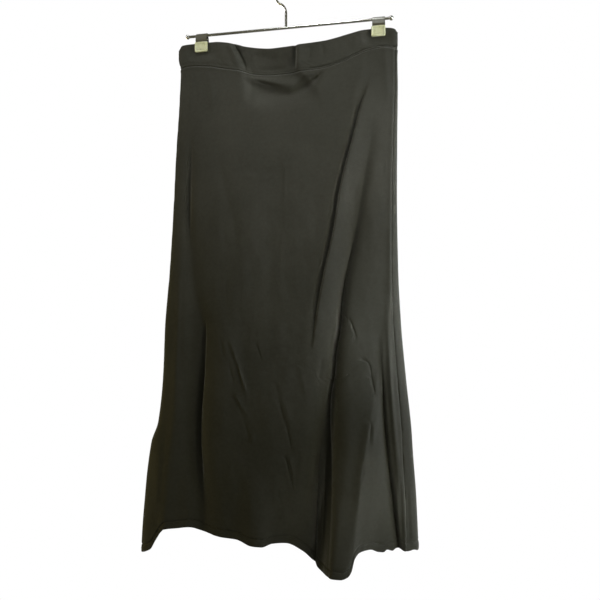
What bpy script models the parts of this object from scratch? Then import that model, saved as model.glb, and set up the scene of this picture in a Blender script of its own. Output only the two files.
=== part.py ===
"""Maxi skirt of thin jersey, hanging by its waistband from a two-clip hanger of plated wire.

Front is -Y, left and right are as seen from the front, and +Z is up. The origin is the top of
the hook's inside, where a rail carries it. The tables below are in millimetres.
Run it with: blender --background --python part.py
"""

import math
from typing import NamedTuple

import bmesh
import bpy
import numpy as np
from mathutils import Matrix, Vector

MM = 0.001
GAP = 0.3
WAIST_SEAM_GAP = 0.5

# Hanger
WIRE = 4.5
BAR_WIRE = 5.0
BAR_HALF = 190.0
BAR_Z = -85.0
HOOK_INSIDE_RADIUS = 20.0
CLIP_PLACES = {"left": -164.0, "right": 171.0}
CLIP_WIDTH = 25.0
CLIP_STEEL = 1.0
STRIP_INSET = 1.6
OVER_BAR_SLACK = 0.4
LEG_TOP_DROP = 1.5
PAD_TOP = -98.5
PAD_BOTTOM = -117.5
PAD_FLOOR = 3.5
PAD_VINYL = 1.1
PAD_EDGE = 0.7
BALL_RADIUS = 4.25
BALL_FLAT = 3.0

# Cloth
CLOTH = 1.5
BAND_CLOTH = 3.0
HEM_CLOTH = 2.4
BAND_PINCHED = BAND_CLOTH + GAP
FLAT_BESIDE_TIP = 13.0
FLAT_BELOW_TIP = 8.0
PINCH_FADE = 24.0
ROUNDNESS = 0.62
FOLDS_FADE = 1.5
SIDE_FOLD = 0.3
SEAM_INSET = 0.18
FRONT_COLUMNS = 46
BACK_COLUMNS = 34
PANEL_ROWS = 22
BAND_ROWS = 5
LOOP_SAMPLES = 1600
TURN_WEIGHT = 20.0


class Section(NamedTuple):
    """The skirt's outline at one level: its side folds, and how far it stands out either way."""

    z: float
    left: float
    right: float
    front: float
    back: float


SECTIONS = [
    Section(z=-95, left=-211.5, right=205, front=9, back=10),
    Section(z=-125, left=-211.5, right=205, front=10, back=11),
    Section(z=-150, left=-207, right=204.5, front=11, back=13),
    Section(z=-210, left=-209, right=205, front=16, back=17),
    Section(z=-300, left=-215, right=204, front=19, back=22),
    Section(z=-400, left=-220, right=203.5, front=23, back=27),
    Section(z=-530, left=-228, right=205.5, front=28, back=33),
    Section(z=-630, left=-237, right=210.5, front=32, back=37),
    Section(z=-730, left=-241, right=219.5, front=36, back=42),
    Section(z=-820, left=-251, right=229, front=40, back=46),
    Section(z=-860, left=-265, right=231.5, front=42, back=48),
    Section(z=-950, left=-277, right=238, front=44, back=51),
    Section(z=-1075, left=-285, right=242, front=47, back=54),
]


class Edge(NamedTuple):
    """One point of an edge that runs round the skirt."""

    x: float
    z: float


BAND_TOP = [
    Edge(-211, -109),
    Edge(-203, -101.5),
    Edge(-182, -100.5),
    Edge(-150, -100),
    Edge(-128, -102),
    Edge(-100, -107.5),
    Edge(-77, -114),
    Edge(-53, -118.5),
    Edge(-25, -121.5),
    Edge(5, -120.8),
    Edge(55, -119),
    Edge(75, -117.5),
    Edge(95, -114),
    Edge(115, -109.5),
    Edge(150, -103),
    Edge(172, -102),
    Edge(190, -103.5),
    Edge(199, -106),
    Edge(204, -111),
]
WAIST_SEAM = [
    Edge(-211, -146),
    Edge(-200, -143.5),
    Edge(-190, -143),
    Edge(-172, -144.5),
    Edge(-152, -147),
    Edge(-128, -152),
    Edge(-87, -160.5),
    Edge(-55, -167),
    Edge(-22, -170.3),
    Edge(39, -170),
    Edge(60, -169.5),
    Edge(75, -167.5),
    Edge(90, -164),
    Edge(112, -157),
    Edge(134, -147.5),
    Edge(156, -141),
    Edge(178, -138),
    Edge(191, -139),
    Edge(204, -142),
]
FRONT_HEM = [
    Edge(-285, -1070),
    Edge(-260, -1055),
    Edge(-246, -1034),
    Edge(-231, -1019),
    Edge(-204, -1014),
    Edge(-176, -1010),
    Edge(-150, -1016),
    Edge(-111, -1022),
    Edge(-82, -1023),
    Edge(-51, -1031),
    Edge(-32, -1031),
    Edge(-14, -1025),
    Edge(11, -1023),
    Edge(40, -1035),
    Edge(60, -1052),
    Edge(74, -1065),
    Edge(96, -1069),
    Edge(114, -1068),
    Edge(130, -1058),
    Edge(139, -1038),
    Edge(150, -1025),
    Edge(175, -1028),
    Edge(200, -1027),
    Edge(242, -1029),
]
BACK_HEM = [
    Edge(-285, -1070),
    Edge(-264, -1046),
    Edge(-230, -1016),
    Edge(-180, -1018),
    Edge(-120, -1030),
    Edge(-60, -1020),
    Edge(0, -1026),
    Edge(60, -1038),
    Edge(120, -1020),
    Edge(180, -1026),
    Edge(242, -1029),
]


class Level(NamedTuple):
    """One level of a fold: where its crest is, how far it rises, and how wide each flank is."""

    z: float
    x: float
    rise: float
    left: float
    right: float


class Fold(NamedTuple):
    """A fold down the cloth. Its profile is sharp at 1, rounded at 2 and flat on top at 3."""

    profile: float
    levels: list


FRONT_FOLDS = {
    "waist_recess": Fold(
        3,
        [
            Level(z=-95, x=-34, rise=-5, left=62, right=54),
            Level(z=-150, x=-30, rise=-8, left=58, right=52),
            Level(z=-195, x=-14, rise=-9.5, left=62, right=64),
            Level(z=-230, x=-8, rise=0, left=66, right=70),
        ],
    ),
    "clip_drape": Fold(
        1.5,
        [
            Level(z=-230, x=164, rise=0, left=20, right=12),
            Level(z=-400, x=142, rise=-7, left=22, right=12),
            Level(z=-520, x=121, rise=-8, left=22, right=12),
            Level(z=-610, x=108, rise=-9, left=20, right=12),
            Level(z=-720, x=97, rise=-12, left=20, right=11),
            Level(z=-860, x=88, rise=-15, left=24, right=11),
            Level(z=-1070, x=74, rise=-13, left=24, right=16),
        ],
    ),
    "flute": Fold(
        3,
        [
            Level(z=-560, x=158, rise=0, left=48, right=44),
            Level(z=-700, x=158, rise=6, left=52, right=40),
            Level(z=-820, x=149, rise=14, left=54, right=42),
            Level(z=-930, x=138, rise=22, left=45, right=34),
            Level(z=-1000, x=130, rise=28, left=42, right=22),
            Level(z=-1070, x=122, rise=34, left=42, right=17),
        ],
    ),
    "left_valley": Fold(
        1.5,
        [
            Level(z=-240, x=-178, rise=0, left=10, right=12),
            Level(z=-400, x=-184, rise=-5, left=14, right=12),
            Level(z=-550, x=-176, rise=-6, left=18, right=18),
            Level(z=-650, x=-156, rise=-9, left=26, right=16),
            Level(z=-760, x=-158, rise=-13, left=28, right=14),
            Level(z=-860, x=-160, rise=-14, left=28, right=16),
            Level(z=-960, x=-151, rise=-12, left=26, right=22),
            Level(z=-1070, x=-148, rise=-8, left=24, right=24),
        ],
    ),
    "right_valley": Fold(
        2,
        [
            Level(z=-680, x=178, rise=0, left=10, right=8),
            Level(z=-780, x=183, rise=-5, left=11, right=8),
            Level(z=-860, x=190, rise=-7, left=11, right=8),
            Level(z=-1070, x=211, rise=-9, left=12, right=9),
        ],
    ),
    "hem_wave": Fold(
        2,
        [
            Level(z=-820, x=-62, rise=0, left=34, right=26),
            Level(z=-1070, x=-38, rise=11, left=30, right=24),
        ],
    ),
}
BACK_FOLDS = {
    "waist_swag": Fold(
        2,
        [
            Level(z=-95, x=20, rise=3, left=70, right=70),
            Level(z=-170, x=20, rise=-3, left=80, right=80),
            Level(z=-240, x=10, rise=0, left=80, right=80),
        ],
    ),
    "left_flute": Fold(
        2,
        [
            Level(z=-520, x=-150, rise=0, left=34, right=34),
            Level(z=-820, x=-140, rise=18, left=32, right=34),
            Level(z=-1070, x=-128, rise=30, left=34, right=36),
        ],
    ),
    "middle_valley": Fold(
        2,
        [
            Level(z=-330, x=-84, rise=0, left=28, right=28),
            Level(z=-700, x=-60, rise=-11, left=28, right=30),
            Level(z=-1070, x=-50, rise=-16, left=32, right=34),
        ],
    ),
    "middle_flute": Fold(
        2,
        [
            Level(z=-600, x=50, rise=0, left=40, right=34),
            Level(z=-860, x=56, rise=20, left=34, right=32),
            Level(z=-1070, x=60, rise=33, left=34, right=32),
        ],
    ),
    "right_valley": Fold(
        2,
        [
            Level(z=-260, x=150, rise=0, left=24, right=22),
            Level(z=-600, x=134, rise=-9, left=24, right=22),
            Level(z=-1070, x=128, rise=-14, left=26, right=24),
        ],
    ),
    "right_flute": Fold(
        2,
        [
            Level(z=-700, x=186, rise=0, left=26, right=22),
            Level(z=-1070, x=184, rise=18, left=26, right=24),
        ],
    ),
}



class Bend(NamedTuple):
    """A bend of a clip's strip: how far outside its grip, and how far above its tips."""

    out: float
    above: float


CLIP_BENDS = [
    Bend(out=0, above=0.5),
    Bend(out=1.2, above=4),
    Bend(out=0.6, above=7.5),
]

# How far the right side seam has rolled to the front of the side fold, at the waist and hem.
SEAM_ROLL_WAIST = 6.0
SEAM_ROLL_HEM = 36.0

# Colours are linear.
JERSEY = ((0.030, 0.030, 0.024), 0.9, 0.0)
STEEL = ((0.62, 0.62, 0.60), 0.22, 1.0)
VINYL = ((0.56, 0.57, 0.38), 0.35, 0.0)


def column(rows, name):
    """One named column of a table, in the order of its rows."""
    return np.array([getattr(row, name) for row in rows], float)


def smooth(xs, ys, at):
    """A smooth curve through a table's points, level past its ends."""
    order = np.argsort(xs)
    xs, ys = xs[order], ys[order]
    steps = np.diff(xs)
    slopes = np.diff(ys) / steps
    tangents = np.zeros_like(ys)
    turns = slopes[:-1] * slopes[1:] > 0
    harmonic = 2 * slopes[:-1] * slopes[1:] / np.where(turns, slopes[:-1] + slopes[1:], 1)
    tangents[1:-1] = np.where(turns, harmonic, 0)
    at = np.clip(at, xs[0], xs[-1])
    i = np.clip(np.searchsorted(xs, at) - 1, 0, len(steps) - 1)
    t = (at - xs[i]) / steps[i]
    rise = ys[i + 1] - ys[i]
    return (
        ys[i]
        + rise * t * t * (3 - 2 * t)
        + steps[i] * t * (1 - t) * (tangents[i] * (1 - t) - tangents[i + 1] * t)
    )


def read(rows, name, z):
    """One column of a table of levels, at each z."""
    return smooth(column(rows, "z"), column(rows, name), z)


def height(edge, across):
    """The z of an edge, where across goes from -1 at its left end to 1 at its right one."""
    left, right = edge[0].x, edge[-1].x
    x = (left + right) / 2 + (right - left) / 2 * across
    return smooth(column(edge, "x"), column(edge, "z"), x)


def folded(folds, x, z):
    """How far a set of folds moves the cloth outwards at each point."""
    total = np.zeros_like(x)
    for fold in folds.values():
        off = x - read(fold.levels, "x", z)
        width = np.where(off < 0, read(fold.levels, "left", z), read(fold.levels, "right", z))
        total += read(fold.levels, "rise", z) * np.exp(-((np.abs(off) / width) ** fold.profile))
    return total


def pinch(x, z):
    """1 where a clip presses the band flat, and 0 away from it."""
    from_clip = np.minimum(*(np.abs(x - place) for place in CLIP_PLACES.values()))
    beside = (from_clip - CLIP_WIDTH / 2 - FLAT_BESIDE_TIP) / PINCH_FADE
    below = (PAD_BOTTOM - FLAT_BELOW_TIP - z) / PINCH_FADE
    apart = np.clip(np.hypot(np.maximum(beside, 0), np.maximum(below, 0)), 0, 1)
    return 1 - apart * apart * (3 - 2 * apart)


def loop(part_way, upper, lower):
    """The skirt's outside all round, part of the way from its upper edge to its lower one.

    It starts at the left side fold and runs along the front, then back along the back. upper
    and lower are pairs of edges, front and back.
    """
    angle = np.linspace(0, 2 * math.pi, LOOP_SAMPLES, endpoint=False)
    is_front = angle < math.pi
    across = -np.cos(angle)
    top = np.where(is_front, height(upper[0], across), height(upper[1], across))
    low = np.where(is_front, height(lower[0], across), height(lower[1], across))
    z = top + (low - top) * part_way
    left, right = read(SECTIONS, "left", z), read(SECTIONS, "right", z)
    x = (left + right) / 2 + (right - left) / 2 * across
    stand = np.where(is_front, read(SECTIONS, "front", z), read(SECTIONS, "back", z))
    rounded = np.abs(np.sin(angle)) ** ROUNDNESS
    moved = np.where(is_front, folded(FRONT_FOLDS, x, z), folded(BACK_FOLDS, x, z))
    out = stand * rounded + moved * np.minimum(1, FOLDS_FADE * rounded)
    out = out + (BAND_PINCHED - out) * pinch(x, z) * (rounded > SIDE_FOLD)
    y = np.where(is_front, -out, out)
    return np.stack([x, y, z], axis=1)


def spaced(points, start, end, count):
    """count + 1 points along a line between two distances, closer together where it turns."""
    step = np.diff(points, axis=0)
    length = np.linalg.norm(step, axis=1)
    heading = np.unwrap(np.arctan2(step[:, 1], step[:, 0]))
    turned = np.abs(np.gradient(heading))
    distance = np.concatenate([[0], np.cumsum(length)])
    effort = np.concatenate([[0], np.cumsum(length + TURN_WEIGHT * turned)])
    first, last = np.interp([start, end], distance, effort)
    at = np.interp(np.linspace(first, last, count + 1), effort, distance)
    return np.stack([np.interp(at, distance, points[:, i]) for i in range(3)], axis=1)


def row_of(part_way, upper, lower):
    """One row of the skirt: its front columns from left seam to right seam, then its back ones."""
    points = loop(part_way, upper, lower)
    points = np.concatenate([points, points[:1]])
    distance = np.concatenate([[0], np.cumsum(np.linalg.norm(np.diff(points, axis=0), axis=1))])
    right_fold = distance[LOOP_SAMPLES // 2]
    below_waist = part_way if lower[0] is FRONT_HEM else 0
    seam = right_fold - SEAM_ROLL_WAIST - (SEAM_ROLL_HEM - SEAM_ROLL_WAIST) * below_waist
    front = spaced(points, 0, seam, FRONT_COLUMNS)
    back = spaced(points, seam, distance[-1], BACK_COLUMNS)
    return np.concatenate([front, back[1:-1]])


def skin(upper, lower, rows):
    """The outside of a tube of cloth as rows of points, with the outward normal at each."""
    grid = np.stack([row_of(k / rows, upper, lower) for k in range(rows + 1)])
    along = np.roll(grid, -1, axis=1) - np.roll(grid, 1, axis=1)
    down = np.gradient(grid, axis=0)
    normal = np.cross(along, down)
    outward = np.sign((normal * (grid - grid.mean(axis=(0, 1)))).sum())
    normal[[0, -1], :, 2] = 0
    return grid, outward * normal / np.linalg.norm(normal, axis=2, keepdims=True)


def add_object(name, points, faces, material, smooth_angle=50):
    """A mesh object from points in millimetres."""
    mesh = bpy.data.meshes.new(name)
    mesh.from_pydata([Vector(p) * MM for p in points], [], faces)
    mesh.materials.append(material)
    work = bmesh.new()
    work.from_mesh(mesh)
    bmesh.ops.recalc_face_normals(work, faces=work.faces)
    work.to_mesh(mesh)
    work.free()
    mesh.shade_smooth()
    mesh.set_sharp_from_angle(angle=math.radians(smooth_angle))
    obj = bpy.data.objects.new(name, mesh)
    bpy.context.scene.collection.objects.link(obj)
    return obj


def wall(name, outer, inner, material, closed_round=False):
    """A wall of cloth between two grids of points, open at its rims' edges or closed all round."""
    rows, columns = outer.shape[:2]
    points = np.concatenate([outer.reshape(-1, 3), inner.reshape(-1, 3)])
    inside = rows * columns
    last = columns if closed_round else columns - 1
    faces = []
    for r in range(rows - 1):
        for c in range(last):
            d = (c + 1) % columns
            quad = [r * columns + c, r * columns + d, (r + 1) * columns + d, (r + 1) * columns + c]
            faces.append(quad)
            faces.append([inside + i for i in reversed(quad)])
    for r in (0, rows - 1):
        for c in range(last):
            a, b = r * columns + c, r * columns + (c + 1) % columns
            faces.append([a, b, inside + b, inside + a])
    if not closed_round:
        for c in (0, columns - 1):
            for r in range(rows - 1):
                a, b = r * columns + c, (r + 1) * columns + c
                faces.append([a, b, inside + b, inside + a])
    return add_object(name, points, faces, material)


def inset_ends(grid):
    """The grid with its two end columns moved in a little, to clear the next panel."""
    grid = grid.copy()
    for end, neighbour in ((0, 1), (-1, -2)):
        towards = grid[:, neighbour] - grid[:, end]
        towards /= np.linalg.norm(towards, axis=1, keepdims=True)
        grid[:, end] += towards * SEAM_INSET
    return grid


def make_waistband(material):
    """The band: one ring of doubled jersey over its elastic."""
    seam = [Edge(e.x, e.z + WAIST_SEAM_GAP / 2) for e in WAIST_SEAM]
    outer, normal = skin((BAND_TOP, BAND_TOP), (seam, seam), BAND_ROWS)
    wall("waistband", outer, outer - normal * BAND_CLOTH, material, closed_round=True)


def make_panels(material):
    """The front and back panels, which meet at the side seams and are doubled at the hem."""
    seam = [Edge(e.x, e.z - WAIST_SEAM_GAP / 2) for e in WAIST_SEAM]
    outer, normal = skin((seam, seam), (FRONT_HEM, BACK_HEM), PANEL_ROWS)
    thickness = np.full(outer.shape[:2] + (1,), CLOTH)
    thickness[-1] = HEM_CLOTH
    inner = outer - normal * thickness
    split = FRONT_COLUMNS
    back = [*range(split, outer.shape[1]), 0]
    for name, columns in (("front_panel", [*range(split + 1)]), ("back_panel", back)):
        wall(name, inset_ends(outer[:, columns]), inset_ends(inner[:, columns]), material)


def make_wire(name, points, wire, material):
    """A round wire along a line of points in millimetres, with flat ends."""
    curve = bpy.data.curves.new(name, "CURVE")
    curve.dimensions = "3D"
    curve.bevel_depth = wire / 2 * MM
    curve.bevel_resolution = 3
    curve.use_fill_caps = True
    spline = curve.splines.new("POLY")
    spline.points.add(len(points) - 1)
    for point, at in zip(spline.points, points):
        point.co = (*(Vector(at) * MM), 1)
    curve.materials.append(material)
    obj = bpy.data.objects.new(name, curve)
    bpy.context.scene.collection.objects.link(obj)
    return obj


def arc(centre, radius, start, end, count):
    """Points of an arc in the plane of the hook, between two angles in degrees."""
    angles = np.radians(np.linspace(start, end, count))
    return [(centre[0] + radius * math.cos(a), 0, centre[1] + radius * math.sin(a)) for a in angles]


def make_hook(material):
    """The hook: most of a circle round the rail, then a bend back to a stem over the bar."""
    radius = HOOK_INSIDE_RADIUS + WIRE / 2
    leave = 240
    crown = arc((0, -HOOK_INSIDE_RADIUS), radius, -12, leave, 30)
    bend = -crown[-1][0] / (1 - math.cos(math.radians(leave - 180)))
    neck = arc((-bend, crown[-1][2] - bend * math.sin(math.radians(leave - 180))), bend, 60, 0, 9)
    foot = (0, 0, BAR_Z + BAR_WIRE / 2 + GAP)
    make_wire("hook", crown + neck[1:] + [foot], WIRE, material)


def make_bar(material):
    """The bar that carries the clips, with a ball on each end."""
    make_wire("bar", [(-BAR_HALF, 0, BAR_Z), (BAR_HALF, 0, BAR_Z)], BAR_WIRE, material)
    for side, name in ((-1, "bar_ball_left"), (1, "bar_ball_right")):
        work = bmesh.new()
        bmesh.ops.create_uvsphere(work, u_segments=16, v_segments=10, radius=BALL_RADIUS * MM)
        turned = Matrix.Rotation(math.pi / 2, 4, "Y")
        bmesh.ops.transform(work, matrix=turned, verts=work.verts)
        flat = -side * BALL_FLAT * MM
        cut = bmesh.ops.bisect_plane(
            work,
            geom=[*work.verts, *work.edges, *work.faces],
            plane_co=(flat, 0, 0),
            plane_no=(-side, 0, 0),
            clear_outer=True,
        )["geom_cut"]
        bmesh.ops.contextual_create(work, geom=[e for e in cut if isinstance(e, bmesh.types.BMEdge)])
        mesh = bpy.data.meshes.new(name)
        bmesh.ops.recalc_face_normals(work, faces=work.faces)
        work.to_mesh(mesh)
        work.free()
        mesh.materials.append(material)
        mesh.shade_smooth()
        mesh.set_sharp_from_angle(angle=math.radians(40))
        ball = bpy.data.objects.new(name, mesh)
        ball.location = (side * ((BAR_HALF + GAP) * MM) - flat, 0, BAR_Z * MM)
        bpy.context.scene.collection.objects.link(ball)


def pad_middle():
    """How far from the middle plane the steel lies inside a vinyl tip."""
    return BAND_PINCHED + GAP + PAD_VINYL + GAP + CLIP_STEEL / 2


def make_clip(name, x, material):
    """A spring-steel strip, bent over the bar and down both sides to the tips."""
    over_bar = BAR_WIRE / 2 + GAP + CLIP_STEEL / 2
    grip = pad_middle()
    leg = [(grip, PAD_BOTTOM + PAD_FLOOR)]
    leg += [(grip + bend.out, PAD_TOP + bend.above) for bend in CLIP_BENDS]
    leg.append((over_bar + OVER_BAR_SLACK, BAR_Z - LEG_TOP_DROP))
    crown = [
        (over_bar * math.cos(a), BAR_Z + over_bar * math.sin(a))
        for a in np.radians(np.linspace(20, 160, 9))
    ]
    middle = [*leg, *crown, *[(-y, z) for y, z in reversed(leg)]]
    middle = np.array(middle)
    ahead = np.gradient(middle, axis=0)
    ahead /= np.linalg.norm(ahead, axis=1, keepdims=True)
    across = np.stack([-ahead[:, 1], ahead[:, 0]], axis=1) * CLIP_STEEL / 2
    outline = [*(middle + across), *reversed(middle - across)]
    half = CLIP_WIDTH / 2 - STRIP_INSET
    points = [(x + side * half, y, z) for side in (-1, 1) for y, z in outline]
    n = len(outline)
    faces = [[i, (i + 1) % n, n + (i + 1) % n, n + i] for i in range(n)]
    for k in range(n // 2 - 1):
        quad = [k, k + 1, n - 2 - k, n - 1 - k]
        faces.append(quad)
        faces.append([n + i for i in reversed(quad)])
    add_object(name, points, faces, material, smooth_angle=35)


def add_box(name, low, high, bevel, material):
    """A box between two corners in millimetres, with rounded edges."""
    low, high = np.array(low, float), np.array(high, float)
    work = bmesh.new()
    bmesh.ops.create_cube(work, size=1.0)
    bmesh.ops.scale(work, vec=Vector((high - low) * MM), verts=work.verts)
    bmesh.ops.translate(work, vec=Vector((high + low) / 2 * MM), verts=work.verts)
    if bevel:
        bmesh.ops.bevel(work, geom=work.edges, offset=bevel * MM, segments=2, affect="EDGES")
    mesh = bpy.data.meshes.new(name)
    work.to_mesh(mesh)
    work.free()
    mesh.materials.append(material)
    mesh.shade_smooth()
    mesh.set_sharp_from_angle(angle=math.radians(35))
    obj = bpy.data.objects.new(name, mesh)
    bpy.context.scene.collection.objects.link(obj)
    return obj


def make_tip(name, x, side, material):
    """A vinyl sleeve over one leg's end; side is -1 in front of the band and 1 behind it."""
    near = BAND_PINCHED + GAP
    far = near + 2 * PAD_VINYL + 2 * GAP + CLIP_STEEL
    half = CLIP_WIDTH / 2
    ys = sorted((side * near, side * far))
    tip = add_box(
        name, (x - half, ys[0], PAD_BOTTOM), (x + half, ys[1], PAD_TOP), PAD_EDGE, material
    )
    slot_half = half - STRIP_INSET + GAP
    slot_y = sorted((side * (near + PAD_VINYL), side * (far - PAD_VINYL)))
    slot = add_box(
        name + "_slot",
        (x - slot_half, slot_y[0], PAD_BOTTOM + PAD_FLOOR - GAP),
        (x + slot_half, slot_y[1], PAD_TOP + 5),
        0,
        material,
    )
    slot.hide_render = True
    slot.display_type = "WIRE"
    cut = tip.modifiers.new("slot", "BOOLEAN")
    cut.operation = "DIFFERENCE"
    cut.object = slot


def make_material(name, look):
    """A Principled material from (colour, roughness, metallic)."""
    colour, roughness, metallic = look
    material = bpy.data.materials.new(name)
    material.use_nodes = True
    shader = material.node_tree.nodes["Principled BSDF"]
    shader.inputs["Base Color"].default_value = (*colour, 1)
    shader.inputs["Roughness"].default_value = roughness
    shader.inputs["Metallic"].default_value = metallic
    return material


def main():
    for obj in list(bpy.data.objects):
        bpy.data.objects.remove(obj)
    jersey = make_material("jersey", JERSEY)
    steel = make_material("plated_steel", STEEL)
    vinyl = make_material("vinyl", VINYL)
    make_waistband(jersey)
    make_panels(jersey)
    make_hook(steel)
    make_bar(steel)
    for end, x in CLIP_PLACES.items():
        make_clip(f"clip_{end}", x, steel)
        make_tip(f"tip_{end}_front", x, -1, vinyl)
        make_tip(f"tip_{end}_back", x, 1, vinyl)


main()
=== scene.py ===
"""The finished look of a jersey maxi skirt that hangs from a two-clip hanger.

Front is -Y, left and right are as seen from the front, and +Z is up. The tables of the cloth's
form are in millimetres, and the cloth lies on the same form as its CAD solids.
"""

import math
from typing import NamedTuple

import bmesh
import bpy
import numpy as np
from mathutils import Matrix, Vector


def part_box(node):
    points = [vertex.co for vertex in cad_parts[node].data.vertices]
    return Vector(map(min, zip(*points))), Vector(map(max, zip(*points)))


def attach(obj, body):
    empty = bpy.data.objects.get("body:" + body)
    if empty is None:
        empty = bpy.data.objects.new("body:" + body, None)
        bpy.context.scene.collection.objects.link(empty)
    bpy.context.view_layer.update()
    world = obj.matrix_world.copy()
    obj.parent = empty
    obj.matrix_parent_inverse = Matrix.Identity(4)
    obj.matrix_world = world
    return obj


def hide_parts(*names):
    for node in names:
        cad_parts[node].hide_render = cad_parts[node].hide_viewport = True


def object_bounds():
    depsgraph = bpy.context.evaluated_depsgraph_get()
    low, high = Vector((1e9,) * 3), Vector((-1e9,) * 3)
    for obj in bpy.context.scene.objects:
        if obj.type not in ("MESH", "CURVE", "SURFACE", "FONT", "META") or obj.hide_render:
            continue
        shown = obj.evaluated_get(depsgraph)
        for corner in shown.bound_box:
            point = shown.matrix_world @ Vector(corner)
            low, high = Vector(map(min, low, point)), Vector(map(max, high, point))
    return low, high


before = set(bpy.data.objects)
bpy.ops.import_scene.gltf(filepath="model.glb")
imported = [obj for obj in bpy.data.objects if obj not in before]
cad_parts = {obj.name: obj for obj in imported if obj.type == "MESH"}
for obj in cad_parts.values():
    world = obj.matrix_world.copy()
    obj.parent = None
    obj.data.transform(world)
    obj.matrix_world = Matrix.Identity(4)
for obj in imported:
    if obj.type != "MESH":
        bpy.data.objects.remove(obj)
cad_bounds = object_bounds()

MM = 0.001
SEED = 11

# ---------------- sizes, in millimetres
WIRE = 4.5
BAR_WIRE = 5.0
BAR_HALF = 190.0
BAR_Z = -85.0
HOOK_INSIDE_RADIUS = 20.0
CLIP_PLACES = {"left": -164.0, "right": 171.0}
CLIP_WIDTH = 25.0
PAD_BOTTOM = -117.5

CLOTH = 0.9
BAND_CLOTH = 3.0
HEM_CLOTH = 1.9
HEM_DEPTH = 14.0
BAND_PINCHED = 3.3
FLAT_BESIDE_TIP = 2.5
FLAT_BELOW_TIP = 1.5
PINCH_FADE = 20.0
ROUNDNESS = 0.62
LOOP_SAMPLES = 3600
TURN_WEIGHT = 9.0
SHARPEST_TURN = 0.5
SEAM_ROLL_WAIST = 6.0
SEAM_ROLL_HEM = 36.0
SIDE_SEAM_DEPTH = 0.6
WAIST_SEAM_DEPTH = 1.4
PUCKER_REACH = 9.0
TOP_ROLL = 1.2
STITCH_SPACING = 4.2
TIP_WELL = 0.85
SEAT_GAP = 0.3

# Below SLACK_TOP the cloth hangs slacker, until it is fully slack SLACK_DEPTH lower.
SLACK_TOP = -150.0
SLACK_DEPTH = 300.0
LEAST_SLACK = 0.15
CREASE_PROFILE = 1.6
SAG_PROFILE = 1.8
CREASE_END = 0.3

FRONT_COLUMNS = 256
BACK_COLUMNS = 196
BAND_COLUMNS = 420
BAND_ROWS = 30
PANEL_LENGTH = 890.0
ROW_STEP = 5.6
EDGE_STEP = 1.3
EDGE_DEPTH = 21.0


class Section(NamedTuple):
    """The skirt's outline at one level: its side folds, and how far it stands out either way."""

    z: float
    left: float
    right: float
    front: float
    back: float


SECTIONS = [
    Section(-95, -211.5, 205, 9, 10),
    Section(-125, -211.5, 205, 10, 11),
    Section(-150, -207, 204.5, 11, 13),
    Section(-210, -209, 205, 16, 17),
    Section(-300, -215, 204, 19, 22),
    Section(-400, -220, 203.5, 23, 27),
    Section(-530, -228, 205.5, 28, 33),
    Section(-630, -237, 210.5, 32, 37),
    Section(-730, -241, 219.5, 36, 42),
    Section(-820, -251, 229, 40, 46),
    Section(-860, -265, 231.5, 42, 48),
    Section(-950, -277, 238, 44, 51),
    Section(-1075, -285, 242, 47, 54),
]


class Edge(NamedTuple):
    """One point of an edge that runs round the skirt."""

    x: float
    z: float


BAND_TOP = [
    Edge(-211, -109),
    Edge(-203, -101.5),
    Edge(-182, -100.5),
    Edge(-150, -100),
    Edge(-128, -102),
    Edge(-100, -107.5),
    Edge(-77, -114),
    Edge(-53, -118.5),
    Edge(-25, -121.5),
    Edge(5, -120.8),
    Edge(55, -119),
    Edge(75, -117.5),
    Edge(95, -114),
    Edge(115, -109.5),
    Edge(150, -103),
    Edge(172, -102),
    Edge(190, -103.5),
    Edge(199, -106),
    Edge(204, -111),
]
WAIST_SEAM = [
    Edge(-211, -146),
    Edge(-200, -143.5),
    Edge(-190, -143),
    Edge(-172, -144.5),
    Edge(-152, -147),
    Edge(-128, -152),
    Edge(-87, -160.5),
    Edge(-55, -167),
    Edge(-22, -170.3),
    Edge(39, -170),
    Edge(60, -169.5),
    Edge(75, -167.5),
    Edge(90, -164),
    Edge(112, -157),
    Edge(134, -147.5),
    Edge(156, -141),
    Edge(178, -138),
    Edge(191, -139),
    Edge(204, -142),
]
FRONT_HEM = [
    Edge(-285, -1070),
    Edge(-260, -1061),
    Edge(-246, -1039),
    Edge(-231, -1019),
    Edge(-204, -1014),
    Edge(-176, -1010),
    Edge(-150, -1016),
    Edge(-111, -1022),
    Edge(-82, -1023),
    Edge(-51, -1031),
    Edge(-32, -1031),
    Edge(-14, -1025),
    Edge(11, -1023),
    Edge(40, -1035),
    Edge(60, -1054),
    Edge(67, -1064),
    Edge(76, -1069),
    Edge(96, -1069),
    Edge(114, -1069),
    Edge(126, -1065),
    Edge(132, -1057),
    Edge(137, -1036),
    Edge(144, -1027),
    Edge(150, -1025),
    Edge(161, -1024),
    Edge(175, -1029),
    Edge(184, -1029.5),
    Edge(190, -1025),
    Edge(199, -1027.5),
    Edge(205, -1024),
    Edge(212, -1024),
    Edge(219, -1027),
    Edge(228, -1027.5),
    Edge(235, -1026),
    Edge(242, -1029),
]
BACK_HEM = [
    Edge(-285, -1070),
    Edge(-264, -1046),
    Edge(-230, -1016),
    Edge(-180, -1018),
    Edge(-120, -1030),
    Edge(-60, -1020),
    Edge(0, -1026),
    Edge(60, -1038),
    Edge(120, -1020),
    Edge(180, -1026),
    Edge(242, -1029),
]


class Level(NamedTuple):
    """One level of a fold: where its crest is, how far it rises, and how wide each flank is."""

    z: float
    x: float
    rise: float
    left: float
    right: float


class Fold(NamedTuple):
    """A fold down the cloth. Its profile is sharp at 1, rounded at 2 and flat on top past 3."""

    profile: float
    levels: list


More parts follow.
